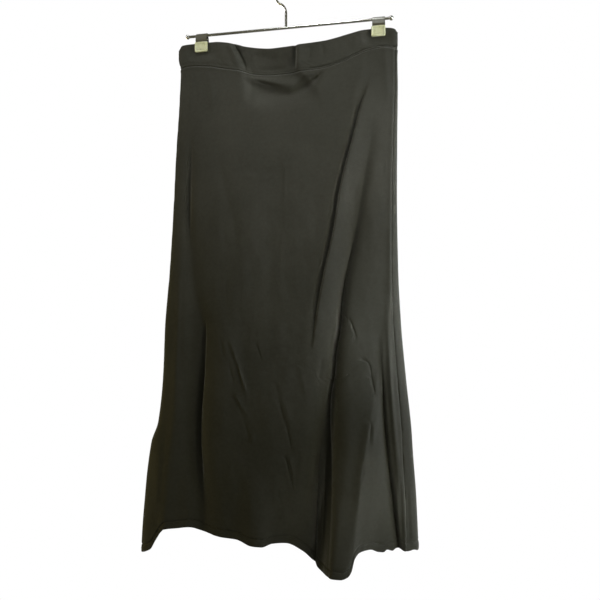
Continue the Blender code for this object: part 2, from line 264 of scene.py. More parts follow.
FRONT_FOLDS = {
    "waist_recess": Fold(9, [
        Level(-95, -42, -1, 64, 64),
        Level(-122, -37, -4.5, 60, 59),
        Level(-166, -27, -10.5, 51, 49),
        Level(-200, -12, -8.5, 58, 62),
        Level(-240, -8, 0, 66, 70),
    ]),
    "recess_turn": Fold(2, [
        Level(-95, -84, -1, 10, 50),
        Level(-122, -80, -2.5, 9, 52),
        Level(-166, -62, -3, 9, 52),
        Level(-185, -56, 0, 12, 60),
    ]),
    "clip_ridge": Fold(1.4, [
        Level(-190, 160, 0, 2.6, 14),
        Level(-211, 153, 1.4, 2.6, 16),
        Level(-239, 143, 3, 2.6, 20),
        Level(-304, 127, 4.4, 2.6, 22),
        Level(-348, 114, 4.8, 2.6, 23),
        Level(-393, 105, 5, 2.6, 24),
        Level(-465, 94, 5, 2.8, 24),
        Level(-535, 79, 4.4, 3, 24),
        Level(-591, 68, 3.6, 3, 22),
        Level(-632, 63, 2.2, 3, 20),
        Level(-700, 56, 0, 3, 18),
    ]),
    "clip_ridge_foot": Fold(1.6, [
        Level(-205, 151, 0, 6, 2),
        Level(-240, 140, -2.6, 5, 2),
        Level(-304, 123.5, -4, 5, 2),
        Level(-393, 101.5, -4.4, 5.5, 2),
        Level(-465, 90.5, -4.6, 5.5, 2),
        Level(-535, 75.5, -4.4, 6, 2.2),
        Level(-632, 59.5, -2.6, 6, 2.2),
        Level(-690, 53, 0, 7, 2.4),
    ]),
    "wall_line": Fold(1.5, [
        Level(-430, 138, 0, 5, 2.4),
        Level(-516, 120, -3, 5, 2.4),
        Level(-570, 110, -6, 5, 2.4),
        Level(-609, 106, -7, 4.6, 2.4),
        Level(-640, 104, -7.5, 4.6, 2.4),
        Level(-690, 96, -8.5, 5, 2.4),
        Level(-716, 95, -8, 5, 2.4),
        Level(-767, 87, -9, 5, 2.4),
        Level(-801, 86.5, -9, 5, 2.4),
        Level(-874, 90, -9, 5.5, 2.6),
        Level(-947, 92, -7, 6, 2.6),
        Level(-1040, 92, -3, 6, 3),
    ]),
    "second_line": Fold(1.5, [
        Level(-800, 78, 0, 4.5, 3),
        Level(-850, 71, -3, 4.5, 3),
        Level(-900, 67, -6, 4.5, 3),
        Level(-965, 64, -8, 4.5, 3),
        Level(-1075, 62, -7, 4.5, 3),
    ]),
    "left_line": Fold(1.5, [
        Level(-620, -149, 0, 5, 2.4),
        Level(-650, -150, -4, 5, 2.4),
        Level(-702, -152, -5, 5, 2.4),
        Level(-755, -157, -8.5, 5, 2.2),
        Level(-814, -161, -9, 5, 2.2),
        Level(-857, -160, -8, 5, 2.2),
        Level(-900, -155, -4, 6, 2.6),
        Level(-960, -151, 0, 8, 3),
    ]),
    "left_shoulder": Fold(2, [
        Level(-480, -200, 0, 10, 12),
        Level(-620, -202, 2.4, 10, 14),
        Level(-820, -210, 3.4, 12, 16),
        Level(-980, -224, 3, 14, 18),
        Level(-1075, -230, 1, 14, 18),
    ]),
    "seam_ridge": Fold(1.6, [
        Level(-190, 200, 0, 5, 3),
        Level(-300, 197, 1.2, 5, 3),
        Level(-519, 193, 2.2, 6, 3),
        Level(-712, 195, 2.4, 5, 3),
        Level(-816, 204, 1.8, 4, 3),
        Level(-1007, 221, 1.4, 3, 3),
    ]),
    "clip_drape": Fold(1.6, [
        Level(-230, 164, 0, 22, 10),
        Level(-400, 142, -5, 26, 9),
        Level(-520, 121, -6, 24, 8),
        Level(-610, 108, -7, 22, 8),
        Level(-720, 97, -10, 22, 8),
        Level(-860, 88, -12, 26, 10),
        Level(-1070, 74, -10, 26, 16),
    ]),
    "flute": Fold(3, [
        Level(-560, 150, 0, 44, 52),
        Level(-700, 146, 6, 44, 52),
        Level(-820, 132, 15, 38, 58),
        Level(-930, 120, 24, 29, 54),
        Level(-1000, 112, 30, 24, 46),
        Level(-1070, 106, 36, 26, 39),
    ]),
    "flute_crest": Fold(1.6, [
        Level(-690, 170, 0, 8, 6),
        Level(-780, 164, 2.4, 8, 6),
        Level(-850, 154, 4, 9, 7),
        Level(-930, 145, 5, 9, 7),
        Level(-1000, 138, 4, 9, 6),
        Level(-1070, 128, 2, 9, 6),
    ]),
    "left_valley": Fold(1.6, [
        Level(-240, -178, 0, 10, 10),
        Level(-400, -184, -4, 14, 8),
        Level(-550, -176, -5, 18, 18),
        Level(-650, -156, -8, 28, 16),
        Level(-760, -158, -12, 30, 12),
        Level(-860, -160, -13, 28, 14),
        Level(-960, -151, -11, 26, 22),
        Level(-1070, -148, -8, 24, 24),
    ]),
    "right_valley": Fold(1.3, [
        Level(-650, 178, 0, 10, 3.4),
        Level(-766, 182, -8, 11, 3.4),
        Level(-853, 189, -10, 10, 3.4),
        Level(-924, 196, -10, 9, 3.6),
        Level(-1075, 211, -9, 9, 4.5),
    ]),
    "right_ridge": Fold(1.8, [
        Level(-560, 188, 0, 5, 6),
        Level(-660, 191, 3.2, 5, 6),
        Level(-820, 202, 4, 5, 6),
        Level(-975, 216, 3, 5, 5),
        Level(-1060, 222, 1.5, 5, 5),
    ]),
    "hem_wave": Fold(2, [
        Level(-820, -62, 0, 34, 26),
        Level(-1070, -38, 11, 30, 24),
    ]),
}
BACK_FOLDS = {
    "waist_swag": Fold(2, [
        Level(-95, 20, 3, 70, 70),
        Level(-170, 20, -3, 80, 80),
        Level(-240, 10, 0, 80, 80),
    ]),
    "left_flute": Fold(2, [
        Level(-520, -150, 0, 34, 34),
        Level(-820, -140, 18, 32, 34),
        Level(-1070, -128, 30, 34, 36),
    ]),
    "middle_valley": Fold(2, [
        Level(-330, -84, 0, 28, 28),
        Level(-700, -60, -11, 28, 30),
        Level(-1070, -50, -16, 32, 34),
    ]),
    "middle_flute": Fold(2, [
        Level(-600, 50, 0, 40, 34),
        Level(-860, 56, 20, 34, 32),
        Level(-1070, 60, 33, 34, 32),
    ]),
    "right_valley": Fold(2, [
        Level(-260, 150, 0, 24, 22),
        Level(-600, 134, -9, 24, 22),
        Level(-1070, 128, -14, 26, 24),
    ]),
    "right_flute": Fold(2, [
        Level(-700, 186, 0, 26, 22),
        Level(-1070, 184, 18, 26, 24),
    ]),
}


class Crease(NamedTuple):
    """A crease from (x1, z1) to (x2, z2), bowed sideways, with a flank on each side of its line.

    Sides are as seen going from the first end to the second, so on a crease that runs down the
    front its right flank is towards +X, and on one that runs to +X it is the lower one.
    """

    x1: float
    z1: float
    x2: float
    z2: float
    bow: float
    rise: float
    left: float
    right: float


FRONT_CREASES = [
    # Small folds beside the line where the big flute steps out.
    Crease(80, -850, 74, -1050, 1, 3, 2.6, 2.6),
    Crease(76, -684, 65, -745, 0, -1.6, 3.5, 4),
    Crease(88, -690, 84, -740, 0, 1.4, 3, 3),
    Crease(100, -800, 96, -850, 0, 1.2, 3, 4),
    Crease(112, -820, 104, -960, 2, -1.6, 8, 9),
    # Ridges and nicks on the flute.
    Crease(186, -600, 162, -880, 3, 2, 7, 6),
    Crease(172, -700, 168, -760, 1, 1.2, 2.6, 3.5),
    Crease(164, -796, 160, -842, 0, -2.2, 2, 2),
    Crease(169, -800, 166, -850, 0, 1.4, 2.4, 3),
    Crease(152, -872, 147, -905, 1, -1.6, 2, 2.4),
    Crease(121, -618, 137, -662, 0, -1.7, 1.8, 2),
    Crease(112, -612, 120, -628, 0, -1, 2, 2),
    Crease(154, -694, 162, -722, 1, -2, 1.8, 2),
    Crease(161, -716, 171, -762, -1, -2.2, 1.8, 2),
    Crease(176, -640, 172, -740, 0, -1.4, 6, 6),
    # Narrow folds near the hem beside the right seam.
    Crease(204, -900, 212, -1030, 0, 1.6, 3, 3),
    Crease(210, -880, 218, -1035, 0, -1.8, 3, 3),
    Crease(222, -900, 228, -1035, 0, -2, 2.6, 3),
    Crease(227, -880, 234, -1035, 0, 1.6, 3, 3),
    Crease(216, -1008, 236, -1004, 2, -1.6, 4, 3),
    Crease(218, -1016, 240, -1014, -2, 1.6, 3, 3),
    # The left side.
    Crease(-180, -262, -184, -500, -3, -2.8, 9, 3),
    Crease(-196, -520, -200, -780, 0, -1.6, 8, 8),
    Crease(-143, -640, -150, -860, -3, 1.6, 4, 9),
    Crease(-165, -850, -150, -990, 2, -2, 8, 7),
    Crease(-238, -850, -246, -1000, 0, 2, 12, 10),
    # Slack diagonals across the middle: each a thin ridge, dark along its left foot.
    Crease(-136, -300, -84, -500, 4, -0.9, 10, 9),
    Crease(-106, -648, -62, -782, 4, 1.3, 1.8, 3.6),
    Crease(-109, -660, -70, -770, 5, -0.8, 4, 1.6),
    Crease(-84, -706, -60, -772, 1, 0.8, 1.6, 2.2),
    Crease(-118, -655, -108, -700, 0, -0.8, 2.5, 2.5),
    Crease(-100, -700, -86, -748, -2, -0.7, 3, 2),
    Crease(-55, -655, -36, -700, 1, -0.8, 1.6, 1.6),
    Crease(-51, -660, -34, -698, 1, 0.5, 1.5, 2),
    Crease(-108, -748, -66, -806, 3, -0.8, 4, 2),
    Crease(-103, -746, -60, -806, 3, 0.9, 2, 3),
    Crease(-74, -800, -54, -862, 2, -0.7, 3, 2),
    Crease(-80, -772, -70, -800, 0, 0.7, 1.6, 2),
    Crease(-60, -834, -44, -846, 0, 0.8, 1.5, 1.5),
    Crease(-58, -842, -46, -838, 0, 0.7, 1.4, 1.4),
    Crease(-14, -732, 2, -796, 1, -0.9, 5, 3),
    Crease(-2, -776, 13, -822, -1, -1.0, 2.4, 1.8),
    Crease(9, -812, 20, -862, 1, -1.1, 2.2, 1.8),
    Crease(6, -770, 20, -826, 1, 0.8, 3, 4),
    Crease(8, -866, 16, -898, 0, -1.7, 1.8, 1.7),
    Crease(13, -890, 23, -930, 1, -1.3, 1.9, 1.7),
    Crease(15, -866, 25, -912, 1, 1.2, 1.8, 3),
    Crease(-10, -930, 2, -960, 2, -0.8, 3, 3),
    Crease(34, -700, 44, -760, 0, 0.6, 3, 3),
    Crease(40, -852, 30, -930, 1, 0.8, 3, 6),
    # Faint press lines from when it lay folded.
    Crease(3, -330, 1, -420, 1, 0.45, 3, 3),
    Crease(0, -450, -4, -560, -1, 0.3, 3, 3),
    Crease(-4, -590, -2, -700, 1, 0.25, 3, 3),
    Crease(-100, -345, 16, -352, -7, -0.7, 4, 4),
    Crease(-96, -351, 14, -358, -7, 0.5, 4, 4),
    # Drag lines out of the clips.
    Crease(182, -122, 190, -250, 0, 1, 6, 8),
    Crease(150, -150, 120, -270, -3, 1, 8, 10),
    Crease(-152, -150, -136, -240, 3, 0.9, 7, 7),
    Crease(-180, -150, -188, -260, 0, 0.9, 6, 7),
]
BACK_CREASES = [
    Crease(-152, -200, -74, -640, 10, 4.2, 22, 3),
    Crease(-148, -206, -70, -650, 10, -2.2, 2.2, 7),
    Crease(160, -200, 118, -520, 8, 3.4, 3, 20),
    Crease(156, -206, 113, -530, 8, -2, 7, 2.4),
    Crease(-108, -560, -98, -860, 3, -4, 4, 7),
    Crease(-92, -820, -84, -1050, 0, -5, 5, 8),
    Crease(-120, -760, -118, -1030, 2, 3, 8, 8),
    Crease(22, -620, 26, -1000, -3, -4, 7, 5),
    Crease(92, -700, 96, -1010, 2, -4.5, 5, 7),
    Crease(70, -560, 78, -760, 1, -2.4, 5, 5),
    Crease(-30, -700, 10, -840, 5, -3, 6, 5),
    Crease(-20, -706, 18, -836, 5, 2, 5, 6),
    Crease(-16, -880, 0, -960, 2, -3, 5, 4),
    Crease(150, -620, 164, -800, 2, -3, 6, 5),
    Crease(204, -560, 222, -980, 2, -3, 5, 6),
    Crease(-204, -420, -212, -760, -3, -3, 6, 8),
    Crease(-226, -820, -240, -1000, 0, -3.4, 7, 7),
    Crease(-150, -640, -180, -780, -4, -2.4, 5, 6),
    Crease(116, -640, 96, -700, 0, -2, 3, 3),
    Crease(-60, -420, -20, -560, 5, -2, 7, 7),
    Crease(40, -330, 74, -450, 4, -1.8, 7, 7),
    Crease(0, -320, 4, -720, 0, 0.7, 3.5, 3.5),
    Crease(-90, -350, 100, -346, 6, -0.8, 5, 5),
    Crease(-50, -176, 84, -180, 9, -3.5, 7, 8),
    Crease(-40, -184, 70, -190, 18, 2, 8, 9),
    Crease(-182, -124, -192, -260, 0, 1.4, 7, 7),
    Crease(182, -124, 192, -250, 0, 1.3, 7, 7),
]
BAND_CREASES = [
    Crease(-105, -101, -75, -166, 4, -4.8, 5, 3),
    Crease(-113, -103, -88, -154, 3, 2.6, 5, 5),
    Crease(-90, -108, -82, -124, 0, 1.6, 4, 4),
    Crease(19, -112, 18, -168, 0, -5.2, 4, 2.4),
    Crease(26, -116, 26, -166, 0, 2.4, 4, 8),
    Crease(47, -122, 46, -154, 0, -1, 4, 4),
    Crease(70, -122, 72, -146, 0, -0.9, 4, 4),
    Crease(-70, -128, -10, -148, 2, -3, 16, 13),
    Crease(-60, -158, 10, -162, 0, -1.6, 6, 5),
    Crease(-140, -112, -126, -142, 0, -0.8, 6, 6),
    Crease(128, -112, 116, -140, 0, -0.6, 5, 5),
]


class Sag(NamedTuple):
    """One point of a fold that runs across: its place, its rise, and its width up and down."""

    x: float
    z: float
    rise: float
    above: float
    below: float


WAIST_SAGS = {
    "roll": [
        Sag(-84, -170, 0, 4, 4),
        Sag(-62, -175, 2.5, 5, 5),
        Sag(-38, -182, 4, 9, 6),
        Sag(-12, -190, 5, 14, 6),
        Sag(8, -194, 5, 16, 5),
        Sag(22, -188, 3.4, 12, 6),
        Sag(45, -178, 2.5, 6, 4),
        Sag(74, -171, 0, 5, 4),
    ],
    "hollow": [
        Sag(-84, -178, 0, 4, 12),
        Sag(-62, -189, -5, 7, 20),
        Sag(-38, -199, -8, 8, 28),
        Sag(-12, -206, -8, 8, 30),
        Sag(8, -208, -6.5, 6, 26),
        Sag(22, -204, -5.5, 7, 20),
        Sag(38, -194, -5.5, 6, 16),
        Sag(56, -185, -6, 5, 12),
        Sag(76, -176, 0, 4, 8),
    ],
    "tuck": [
        Sag(-66, -178, 0, 2.6, 2.6),
        Sag(-40, -186, -2.4, 2.6, 2.6),
        Sag(-14, -194, -2.2, 2.6, 2.6),
        Sag(6, -200, 0, 2.6, 2.6),
    ],
    "lip": [
        Sag(-70, -190, 0, 8, 14),
        Sag(-30, -212, 0.6, 9, 20),
        Sag(5, -220, 0.8, 9, 22),
        Sag(38, -206, 0.6, 8, 18),
        Sag(66, -190, 0, 8, 12),
    ],
}


class Unevenness(NamedTuple):
    """A layer of slight unevenness: its height, the size of its cells, and its own seed."""

    rise: float
    cell_x: float
    cell_z: float
    seed: int


SLACK = [Unevenness(1.6, 46, 130, 1), Unevenness(0.5, 17, 40, 2), Unevenness(0.16, 7, 12, 3)]
HEM_PUCKERS = [Unevenness(0.45, 6.5, 16, 5), Unevenness(0.5, 17, 30, 6)]
SIDE_PUCKERS = [Unevenness(0.3, 8, 13, 8)]
BAND_GATHERS = [Unevenness(0.28, 5.5, 40, 9), Unevenness(0.3, 15, 60, 10)]

# ---------------- colours, linear
JERSEY_DARK = (0.0275, 0.0275, 0.0205)
JERSEY_LIGHT = (0.0400, 0.0395, 0.0310)
# The thread's colour is partly painted shade of the stitched hem grooves the stitches lie in.
THREAD_AND_GROOVE_SHADE = (0.012, 0.012, 0.009)
STEEL = (0.66, 0.66, 0.64)
VINYL = (0.62, 0.63, 0.42)
VINYL_DEEP = (0.36, 0.39, 0.19)
FLOOR = (0.6, 0.6, 0.59)


def scaled(colour, factor):
    """A colour made lighter or darker."""
    return tuple(factor * part for part in colour)


# ---------------- the cloth's form
def column(rows, name):
    """One named column of a table, in the order of its rows."""
    return np.array([getattr(row, name) for row in rows], float)


def smooth(xs, ys, at):
    """A smooth curve through a table's points, level past its ends."""
    order = np.argsort(xs)
    xs, ys = xs[order], ys[order]
    steps = np.diff(xs)
    slopes = np.diff(ys) / steps
    tangents = np.zeros_like(ys)
    turns = slopes[:-1] * slopes[1:] > 0
    harmonic = 2 * slopes[:-1] * slopes[1:] / np.where(turns, slopes[:-1] + slopes[1:], 1)
    tangents[1:-1] = np.where(turns, harmonic, 0)
    at = np.clip(at, xs[0], xs[-1])
    i = np.clip(np.searchsorted(xs, at) - 1, 0, len(steps) - 1)
    t = (at - xs[i]) / steps[i]
    rise = ys[i + 1] - ys[i]
    return (
        ys[i]
        + rise * t * t * (3 - 2 * t)
        + steps[i] * t * (1 - t) * (tangents[i] * (1 - t) - tangents[i + 1] * t)
    )


def read(rows, name, z):
    """One column of a table of levels, at each z."""
    return smooth(column(rows, "z"), column(rows, name), z)


def height(edge, across):
    """The z of an edge, where across goes from -1 at its left end to 1 at its right one."""
    left, right = edge[0].x, edge[-1].x
    x = (left + right) / 2 + (right - left) / 2 * across
    return smooth(column(edge, "x"), column(edge, "z"), x)


def ease(t):
    """A soft step from 0 to 1."""
    t = np.clip(t, 0, 1)
    return t * t * (3 - 2 * t)


def bell(distance, width):
    """A rounded bump of height 1 where the distance is 0."""
    return np.exp(-((distance / width) ** 2))


def flanked(side, first, second, profile):
    """A fold of height 1 across its line, with the first width on its negative side."""
    width = np.where(side < 0, first, second)
    return np.exp(-((np.abs(side) / width) ** profile))


def folded(folds, x, z):
    """How far a set of folds moves the cloth outwards at each point."""
    total = np.zeros_like(x)
    for fold in folds.values():
        line, rise, left, right = (read(fold.levels, name, z) for name in Level._fields[1:])
        total += rise * flanked(x - line, left, right, fold.profile)
    return total


def sagged(sags, x, z):
    """How far a set of sagging folds moves the cloth outwards at each point."""
    total = np.zeros_like(x)
    for rows in sags.values():
        xs = column(rows, "x")
        line, rise, above, below = (smooth(xs, column(rows, name), x) for name in Sag._fields[1:])
        total += rise * flanked(line - z, above, below, SAG_PROFILE)
    return total


def creased(creases, x, z):
    """How far a list of creases moves the cloth outwards at each point."""
    total = np.zeros_like(x)
    for c in creases:
        run = math.hypot(c.x2 - c.x1, c.z2 - c.z1)
        ahead_x, ahead_z = (c.x2 - c.x1) / run, (c.z2 - c.z1) / run
        t = ((x - c.x1) * ahead_x + (z - c.z1) * ahead_z) / run
        side = -(x - c.x1) * ahead_z + (z - c.z1) * ahead_x
        side = side - c.bow * 4 * t * (1 - t)
        fade = ease(t / CREASE_END) * ease((1 - t) / CREASE_END)
        total += c.rise * fade * flanked(side, c.left, c.right, CREASE_PROFILE)
    return total


def uneven(x, z, cell_x, cell_z, seed):
    """Smooth unevenness between -1 and 1, in cells of about the given size."""
    lattice = np.random.default_rng(SEED + seed).uniform(-1, 1, (64, 64))
    u, v = x / cell_x + 31.4, z / cell_z + 47.2
    i, j = np.floor(u).astype(int), np.floor(v).astype(int)
    s, t = ease(u - i), ease(v - j)
    corner = [lattice[(i + a) % 64, (j + b) % 64] for a in (0, 1) for b in (0, 1)]
    low = corner[0] * (1 - t) + corner[1] * t
    high = corner[2] * (1 - t) + corner[3] * t
    return low * (1 - s) + high * s


def layered(layers, x, z):
    """Some layers of unevenness together."""
    return sum(layer.rise * uneven(x, z, *layer[1:]) for layer in layers)


def pinch(x, z):
    """1 where a clip presses the band flat, and 0 away from it."""
    from_clip = np.minimum(*(np.abs(x - place) for place in CLIP_PLACES.values()))
    beside = (from_clip - CLIP_WIDTH / 2 - FLAT_BESIDE_TIP) / PINCH_FADE
    below = (PAD_BOTTOM - FLAT_BELOW_TIP - z) / PINCH_FADE
    apart = np.clip(np.hypot(np.maximum(beside, 0), np.maximum(below, 0)), 0, 1)
    return 1 - ease(apart)


def loop(part_way, upper, lower):
    """The skirt's outside all round, part of the way from its upper edge to its lower one.

    It starts at the left side fold and runs along the front, then back along the back. upper
    and lower are pairs of edges, front and back.
    """
    angle = np.linspace(0, 2 * math.pi, LOOP_SAMPLES, endpoint=False)
    is_front = angle < math.pi
    across = -np.cos(angle)
    pairs = ((height(front, across), height(back, across)) for front, back in (upper, lower))
    top, low = (np.where(is_front, *pair) for pair in pairs)
    z = top + (low - top) * part_way
    left, right = read(SECTIONS, "left", z), read(SECTIONS, "right", z)
    x = (left + right) / 2 + (right - left) / 2 * across
    stand = np.where(is_front, read(SECTIONS, "front", z), read(SECTIONS, "back", z))
    rounded = np.abs(np.sin(angle)) ** ROUNDNESS
    if lower[0] is FRONT_HEM:
        front_detail = creased(FRONT_CREASES, x, z) + sagged(WAIST_SAGS, x, z)
        back_detail = creased(BACK_CREASES, x, z)
    else:
        front_detail, back_detail = creased(BAND_CREASES, x, z), np.zeros_like(x)
    detail = np.where(is_front, front_detail, back_detail)
    slack = np.clip((SLACK_TOP - z) / SLACK_DEPTH, LEAST_SLACK, 1)
    detail += slack * layered(SLACK, x, z)
    moved = np.where(is_front, folded(FRONT_FOLDS, x, z), folded(BACK_FOLDS, x, z)) + detail
    # The folds fade out into the side folds, and the clips pinch only the faces.
    out = stand * rounded + moved * np.minimum(1, 1.5 * rounded)
    out = out + (BAND_PINCHED - out) * pinch(x, z) * (rounded > 0.3)
    y = np.where(is_front, -out, out)
    return np.stack([x, y, z], axis=1)


def distances(points):
    """The distance along a line to each of its points."""
    return np.concatenate([[0], np.cumsum(np.linalg.norm(np.diff(points, axis=0), axis=1))])


def points_at(places, distance, points):
    """The points of a line that lie at some distances along it."""
    return np.stack([np.interp(places, distance, points[:, i]) for i in range(3)], axis=-1)


def spaced(points, start, end, count):
    """count + 1 points along a line between two distances, closer together where it turns."""
    step = np.diff(points, axis=0)
    length = np.linalg.norm(step, axis=1)
    heading = np.unwrap(np.arctan2(step[:, 1], step[:, 0]))
    turned = np.minimum(np.abs(np.gradient(heading)), SHARPEST_TURN)
    distance = distances(points)
    effort = np.concatenate([[0], np.cumsum(length + TURN_WEIGHT * turned)])
    first, last = np.interp([start, end], distance, effort)
    at = np.interp(np.linspace(first, last, count + 1), effort, distance)
    return points_at(at, distance, points)


def measured(points):
    """A closed line's points, with the distance to each along it and to the right side fold."""
    points = np.concatenate([points, points[:1]])
    distance = distances(points)
    return points, distance, distance[LOOP_SAMPLES // 2]


def outwards(grid, centre, wraps):
    """The outward normal at each point of a grid of rows."""
    if wraps:
        along = np.roll(grid, -1, axis=1) - np.roll(grid, 1, axis=1)
    else:
        along = np.gradient(grid, axis=1)
    normal = np.cross(along, np.gradient(grid, axis=0))
    normal /= np.maximum(np.linalg.norm(normal, axis=2, keepdims=True), 1e-9)
    return normal * np.sign((normal * (grid - centre)).sum())


def flat_coordinates(grid):
    """Each point's place on the cloth laid flat, in metres, for the knit to follow."""
    across = np.linalg.norm(np.diff(grid, axis=1), axis=2)
    across = np.pad(np.cumsum(across, axis=1), ((0, 0), (1, 0)))
    across -= across[:, [grid.shape[1] // 2]]
    down = np.linalg.norm(np.diff(grid, axis=0), axis=2)
    down = np.pad(np.cumsum(down, axis=0), ((1, 0), (0, 0)))
    return np.stack([across, -down], axis=2) * MM


# ---------------- meshes
def add_mesh(name, points, faces, material, uvs=None, sharp_angle=60):
    """A mesh piece from points in millimetres. uvs has one place for each point."""
    mesh = bpy.data.meshes.new(name)
    mesh.from_pydata((np.asarray(points) * MM).tolist(), [], faces)
    if uvs is not None:
        layer = mesh.uv_layers.new(name="flat")
        corners = np.empty(len(mesh.loops), dtype=np.int32)
        mesh.loops.foreach_get("vertex_index", corners)
        layer.data.foreach_set("uv", np.asarray(uvs, dtype=np.float32)[corners].ravel())
    mesh.materials.append(material)
    work = bmesh.new()
    work.from_mesh(mesh)
    bmesh.ops.recalc_face_normals(work, faces=work.faces)
    work.to_mesh(mesh)
    work.free()
    mesh.shade_smooth()
    mesh.set_sharp_from_angle(angle=math.radians(sharp_angle))
    piece = bpy.data.objects.new(name, mesh)
    bpy.context.scene.collection.objects.link(piece)
    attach(piece, "root")
    return piece


def grid_faces(rows, columns, wraps=True):
    """Faces between the points of a grid of rows."""
    c = np.arange(columns if wraps else columns - 1)
    r, c = np.meshgrid(np.arange(rows - 1), c, indexing="ij")
    d = (c + 1) % columns
    corners = [r * columns + c, r * columns + d, (r + 1) * columns + d, (r + 1) * columns + c]
    return np.stack(corners, axis=-1).reshape(-1, 4)


def wall_faces(rows, columns, wraps):
    """Faces of a wall between two grids of points, the outer one first, closed at its edges."""
    inside = rows * columns
    outer = grid_faces(rows, columns, wraps)
    c = np.arange(columns if wraps else columns - 1)
    edges = [(start + c, start + (c + 1) % columns) for start in (0, (rows - 1) * columns)]
    if not wraps:
        r = np.arange(rows - 1) * columns
        edges += [(r + end, r + columns + end) for end in (0, columns - 1)]
    rims = [np.stack([a, b, b + inside, a + inside], axis=-1) for a, b in edges]
    return np.concatenate([outer, outer[:, ::-1] + inside, *rims]).tolist()


def add_wall(name, outer, inner, material, wraps=False):
    """A wall of cloth between two grids of points."""
    uvs = flat_coordinates(outer).reshape(-1, 2)
    points = np.concatenate([outer.reshape(-1, 3), inner.reshape(-1, 3)])
    faces = wall_faces(*outer.shape[:2], wraps)
    return add_mesh(name, points, faces, material, np.concatenate([uvs, uvs]), 75)


def tube_faces(rings, sides, first=0):
    """Faces along a tube of rings, from its first point on, with closed ends."""
    faces = (grid_faces(rings, sides) + first).tolist()
    last = first + (rings - 1) * sides
    faces.append(list(range(first, first + sides)))
    faces.append(list(range(last + sides - 1, last - 1, -1)))
    return faces


def add_stitches(name, lines, material, length=3.0, gap=0.8, radius=0.2, sides=5):
    """Rows of short stitches, half sunk in the cloth, along pairs of a line and its normals."""
    ring = np.linspace(0, 2 * math.pi, sides, endpoint=False)
    # How far along a stitch each of its rings is, and how full it is there.
    stations = ((0.0, 0.25), (0.2, 1.0), (0.8, 1.0), (1.0, 0.25))
    points, faces = [], []
    for line, normal in lines:
        distance = distances(line)
        for start in np.arange(gap, distance[-1] - length - gap, length + gap):
            faces += tube_faces(len(stations), sides, len(points) * sides)
            a, b = points_at((start, start + length), distance, line)
            up = points_at(start + length / 2, distance, normal)
            ahead = (b - a) / np.linalg.norm(b - a)
            side = np.cross(ahead, up)
            for along, size in stations:
                middle = a + (b - a) * along + up * radius * (0.9 * size - 0.5)
                spread = np.cos(ring)[:, None] * side + 0.8 * np.sin(ring)[:, None] * up
                points.append(middle + radius * size * spread)
    return add_mesh(name, np.concatenate(points), faces, material, sharp_angle=50)


# ---------------- materials
class Shader:
    """A material's node tree, with short ways to add to it. Its noise lies in object space."""

    def __init__(self, name, roughness=0.5, metallic=0.0):
        self.material = bpy.data.materials.new(name)
        self.material.use_nodes = True
        self.tree = self.material.node_tree
        self.surface = self.tree.nodes["Principled BSDF"]
        self.set(Roughness=roughness, Metallic=metallic)
        self.place = self.add("ShaderNodeTexCoord").outputs["Object"]

    def add(self, kind, settings=None, **inputs):
        """A node, its settings, and its inputs, each a value or another node's output."""
        node = self.tree.nodes.new(kind)
        for name, value in (settings or {}).items():
            setattr(node, name, value)
        for name, value in inputs.items():
            self.feed(node.inputs[name.replace("_", " ")], value)
        return node

    def set(self, **inputs):
        """Feed the surface's own inputs, each a value or another node's output."""
        for name, value in inputs.items():
            self.feed(self.surface.inputs[name.replace("_", " ")], value)

    def feed(self, socket, value):
        """Link an output to a socket, or set the socket's own value."""
        if isinstance(value, bpy.types.NodeSocket):
            self.tree.links.new(value, socket)
        else:
            socket.default_value = value

    def math(self, operation, *values):
        """A Math node's result."""
        node = self.add("ShaderNodeMath", {"operation": operation})
        for socket, value in zip(node.inputs, values):
            self.feed(socket, value)
        return node.outputs[0]

    def noise(self, scale, detail=3.0, roughness=0.55):
        """A noise texture's height."""
        sizes = {"Scale": scale, "Detail": detail, "Roughness": roughness}
        return self.add("ShaderNodeTexNoise", Vector=self.place, **sizes).outputs["Fac"]

    def between(self, factor, first, second, low=0.3, high=0.7):
        """A colour between two, as a factor goes from low to high."""
        ramp = self.tree.nodes.new("ShaderNodeValToRGB")
        for stop, at, colour in zip(ramp.color_ramp.elements, (low, high), (first, second)):
            stop.position = at
            stop.color = (*colour, 1)
        self.feed(ramp.inputs["Fac"], factor)
        return ramp.outputs["Color"]

    def bump(self, height, distance, strength=1.0, under=None):
        """A bump's normal, on top of another one."""
        node = self.add("ShaderNodeBump", Distance=distance, Strength=strength, Height=height)
        if under is not None:
            self.feed(node.inputs["Normal"], under)
        return node.outputs["Normal"]


